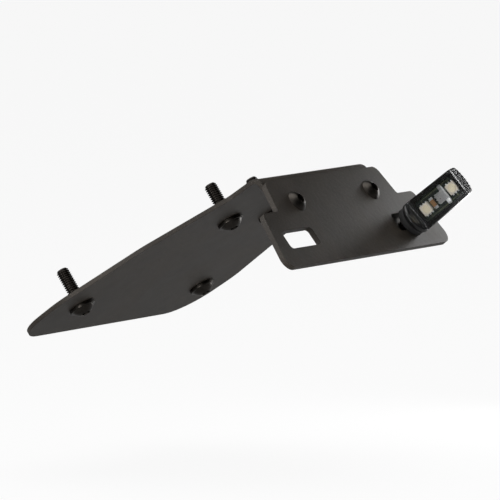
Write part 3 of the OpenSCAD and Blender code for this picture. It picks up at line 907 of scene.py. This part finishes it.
def lamp(name, node):
    """Tray and phosphor of one lamp, in its node's place."""
    low, high = light_box(node)
    foot = light.into(np.array([(low[0] + high[0]) / 2, high[1], (low[2] + high[2]) / 2]))
    spot = Place(foot, -light.y, PLATE_OUT)
    side, height = float(high[0] - low[0]), float(high[1] - low[1])
    rim = height * RIM_SHARE
    square, well = lamp_square(side), np.full(RING_POINTS, side * WELL_SHARE)
    rows = [(square * 0.97, 0.0), (square, 0.1), (square, rim - 0.1), (square * 0.98, rim),
            (well * 1.05, rim), (well, rim - 0.06), (well * 0.86, rim - WELL_DEPTH),
            (well * 0.3, rim - WELL_DEPTH)]
    radius = np.stack([row for row, _ in rows])
    corners, faces = skin(stack(radius, np.array([[z] for _, z in rows])))
    piece(name + "_tray", [(spot.into(corners), faces)], lamp_finish, "lamp_cream", [node])
    share = np.linspace(1, 0.04, 10)[:, None]
    dome = rim - 0.16 + (height - rim + 0.12) * np.sqrt(1 - share ** 2)
    foot_ring = np.array([[rim - 0.38]])
    radius = np.concatenate([well[None, :] * 0.9, well[None, :] * 0.955 * share])
    corners, faces = skin(stack(radius, np.concatenate([foot_ring, dome])))
    piece(name + "_phosphor", [(spot.into(corners), faces)], phosphor_finish, "lamp_cream")
    print(name, "is", round(side, 1), "mm square and", round(height, 1), "mm high")


lamp("inner_lamp", "light_led_inner")
lamp("outer_lamp", "light_led_outer")

# %% [markdown]
# ## Floor
#
# A pale floor lies under the tidy, as if it were held up in a studio. The camera and the clear cover see
# it as nearly white, shiny surfaces mirror it at less than a third of that, and the rest of its shading
# still takes the object's shadow. A Mix Shader does this: its factor is chosen by the kind of ray.

# %% Floor
FLOOR_DROP = 0.06
FLOOR_HALF = 30.0
FLOOR_WHITE = 0.9
FLOOR_MIRRORED, MIRRORED_SHARE = 0.2, 0.85


def rays(finish):
    """Two sockets: 1 for rays from the camera or through the cover, and 1 for mirrored rays."""
    path = finish.tree.nodes.new("ShaderNodeLightPath")
    camera_ray, glossy_ray, clear_ray = [
        Socket(finish, path.outputs[kind]) for kind in
        ("Is Camera Ray", "Is Glossy Ray", "Is Transmission Ray")]
    straight = finish.maths("MAXIMUM", camera_ray, clear_ray)
    return straight, glossy_ray * (1 - straight)


floor_z = cad_box[0][2] - FLOOR_DROP
print("floor:", round(FLOOR_DROP / MM), "mm under the lowest point")
floor_mesh = bpy.data.meshes.new("floor")
floor_mesh.from_pydata([(x * FLOOR_HALF, y * FLOOR_HALF, floor_z) for x, y in
                        ((-1, -1), (1, -1), (1, 1), (-1, 1))], [], [(0, 1, 2, 3)])
floor = bpy.data.objects.new("floor", floor_mesh)
scene.collection.objects.link(floor)

floor_finish = Finish("pale_floor", Base_Color=grey(0.9), Roughness=0.9)
straight, mirrored = rays(floor_finish)
white = floor_finish.node("ShaderNodeEmission", {}, {
    "Color": (1, 1, 1, 1), "Strength": straight + FLOOR_MIRRORED * mirrored})
blend = floor_finish.node("ShaderNodeMixShader", {}, {
    0: FLOOR_WHITE * straight + MIRRORED_SHARE * mirrored,
    1: Socket(floor_finish, floor_finish.shader.outputs[0]), 2: white})
floor_finish.feed(floor_finish.tree.nodes["Material Output"].inputs[0], blend)
floor_mesh.materials.append(floor_finish.material)

# %% [markdown]
# ## Light
#
# The surroundings give weak, even light from all sides, and a wide lamp overhead gives the most. One in
# front and to the left rounds the screw heads. A small one low in front draws thin lines on round edges
# and lights what lies behind the clear cover. Another stands to the right and above, where the bracket's
# face mirrors it: because it is near, it shows at the right wing and fades out towards the left, which is
# how the bracket looks in the photograph. What shiny surfaces mirror is a room with one bright wall, in
# front and to the left: satin black has almost no colour of its own, so a room that is equally bright all
# round would make it look like paper.

# %% Light
WORLD_LEVEL = 0.3
WALL_TOWARDS, WALL_MIRRORED, ROOM_MIRRORED = (-0.55, -0.7, 0.46), 0.95, 0.05
WALL_EDGE, WALL_MIDDLE = -0.1, 0.95
OVERHEAD_SIZE, OVERHEAD_HEIGHT, OVERHEAD_WATTS = 1.4, 1.5, 10.0
MIRROR_SIZE, MIRROR_DISTANCE, MIRROR_WATTS = 0.15, 0.15, 0.21
WING_OFFSET, BEYOND_WING = 0.05, 1.1
FRONT_SIZE, FRONT_WATTS, FRONT_PLACE = 0.28, 2.0, np.array([-0.45, -0.75, 0.45])
EDGE_SIZE, EDGE_WATTS, EDGE_PLACE = 0.07, 0.9, np.array([0.08, -0.6, -0.045])

world = bpy.data.worlds.new("studio")
world.use_nodes = True
scene.world = world


class Surroundings(Finish):
    """The world's node tree, with the same helpers as a material's."""

    def __init__(self, made):
        self.tree = made.node_tree


sky = Surroundings(world)
towards_wall = sky.node("ShaderNodeVectorMath", {"operation": "DOT_PRODUCT"}, {
    0: sky.node("ShaderNodeTexCoord", output="Generated"), 1: WALL_TOWARDS}, output="Value")
room = ROOM_MIRRORED + (WALL_MIRRORED - ROOM_MIRRORED) * sky.between(towards_wall, WALL_EDGE, WALL_MIDDLE)
straight, mirrored = rays(sky)
level = straight + room * mirrored + WORLD_LEVEL * (1 - straight - mirrored)
background = sky.tree.nodes["Background"]
sky.feed(background.inputs["Color"], (1, 1, 1, 1))
sky.feed(background.inputs["Strength"], level)


def soft_lamp(name, place, target, size, watts):
    """A square lamp that looks from place to target, both in metres."""
    data = bpy.data.lights.new(name, "AREA")
    data.size, data.energy = size, watts
    made = bpy.data.objects.new(name, data)
    scene.collection.objects.link(made)
    made.location = place
    made.rotation_mode = "QUATERNION"
    made.rotation_quaternion = Vector(target - place).to_track_quat("-Z", "Y")
    made.visible_camera = False


middle_of_all = np.array(cad_box).mean(0)
soft_lamp("overhead", middle_of_all + np.array([0, 0, OVERHEAD_HEIGHT]), middle_of_all, OVERHEAD_SIZE,
          OVERHEAD_WATTS)
soft_lamp("front_left", middle_of_all + FRONT_PLACE, middle_of_all, FRONT_SIZE, FRONT_WATTS)
soft_lamp("low_edge_light", middle_of_all + EDGE_PLACE, middle_of_all, EDGE_SIZE, EDGE_WATTS)

bounce = 2 * (back @ PLATE_OUT) * PLATE_OUT - back
right_wing = np.array(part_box("number_plate_bracket")).mean(0) + WING_OFFSET * ACROSS
beyond = MIRROR_SIZE * BEYOND_WING * (ACROSS - (ACROSS @ bounce) * bounce)
mirror_place = right_wing + bounce * MIRROR_DISTANCE + beyond
soft_lamp("mirrored_by_the_bracket", mirror_place, mirror_place - bounce, MIRROR_SIZE, MIRROR_WATTS)
print("the bracket mirrors what lies towards", np.round(bounce, 2))
scene.view_settings.view_transform = "Standard"
